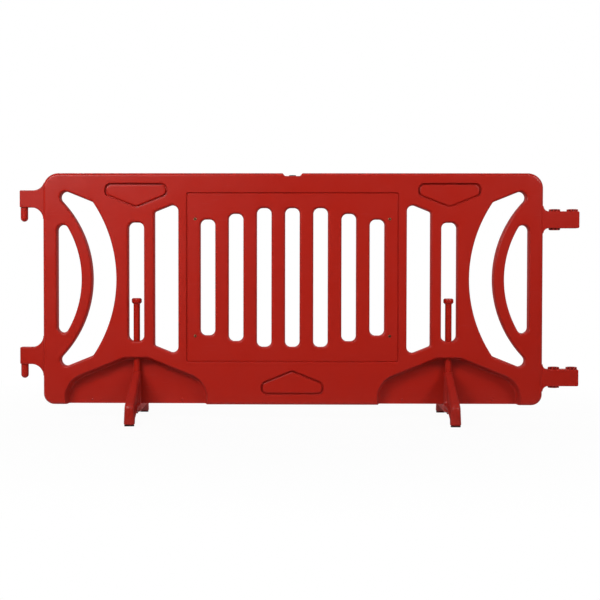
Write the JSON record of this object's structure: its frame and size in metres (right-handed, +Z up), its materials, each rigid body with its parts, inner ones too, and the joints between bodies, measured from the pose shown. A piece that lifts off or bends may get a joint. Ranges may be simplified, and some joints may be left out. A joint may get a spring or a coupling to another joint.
{
  "type": "pedestrian barrier panel",
  "caption": "Free-standing moulded plastic pedestrian barrier panel with window slots, a sign bay, linking hooks and receivers, and swivelling feet on drop pins.",
  "frame": {"origin": "on the ground, at the centre of the whole barrier's box", "axes": "+X along the panel from the hooks to the receivers, +Y from front to back, +Z up"},
  "size_m": [2, 0.482, 0.883],
  "materials": {
    "panel_plastic": "satin moulded polyethylene, red",
    "foot_plastic": "satin moulded polyethylene, red",
    "bush_plastic": "satin moulded nylon, red",
    "plug_plastic": "dark grey moulded plastic",
    "pad_rubber": "black rubber",
    "insert_brass": "dull brass",
    "steel": "zinc-plated steel"
  },
  "bodies": {
    "panel": {"panel_body": "panel_plastic", "top_plug": "plug_plastic", "sign_inserts": "insert_brass", "upper_hook": "panel_plastic", "upper_hook_pin": "panel_plastic", "lower_hook": "panel_plastic", "lower_hook_pin": "panel_plastic", "upper_receiver": "panel_plastic", "upper_inner_top_bush": "bush_plastic", "upper_inner_bottom_bush": "bush_plastic", "upper_outer_bush": "bush_plastic", "lower_receiver": "panel_plastic", "lower_inner_top_bush": "bush_plastic", "lower_inner_bottom_bush": "bush_plastic", "lower_outer_bush": "bush_plastic"},
    "left_pin": {"left_foot_pin": "foot_plastic", "left_pin_washer": "steel", "left_pin_ring": "steel"},
    "left_foot": {"left_foot": "foot_plastic", "left_front_pad": "pad_rubber", "left_rear_pad": "pad_rubber"},
    "right_pin": {"right_foot_pin": "foot_plastic", "right_pin_washer": "steel", "right_pin_ring": "steel"},
    "right_foot": {"right_foot": "foot_plastic", "right_front_pad": "pad_rubber", "right_rear_pad": "pad_rubber"}
  },
  "joints": [
    {"name": "left_foot_drop", "type": "slide", "parent": "panel", "child": "left_pin", "axis": [0, 0, -1], "range_m": [0, 0.132]},
    {"name": "left_foot_swivel", "type": "hinge", "parent": "left_pin", "child": "left_foot", "pos_m": [-0.58175, 0, 0], "axis": [0, 0, 1], "range_deg": [-90, 90]},
    {"name": "right_foot_drop", "type": "slide", "parent": "panel", "child": "right_pin", "axis": [0, 0, -1], "range_m": [0, 0.132]},
    {"name": "right_foot_swivel", "type": "hinge", "parent": "right_pin", "child": "right_foot", "pos_m": [0.53775, 0, 0], "axis": [0, 0, 1], "range_deg": [-90, 90]}
  ]
}
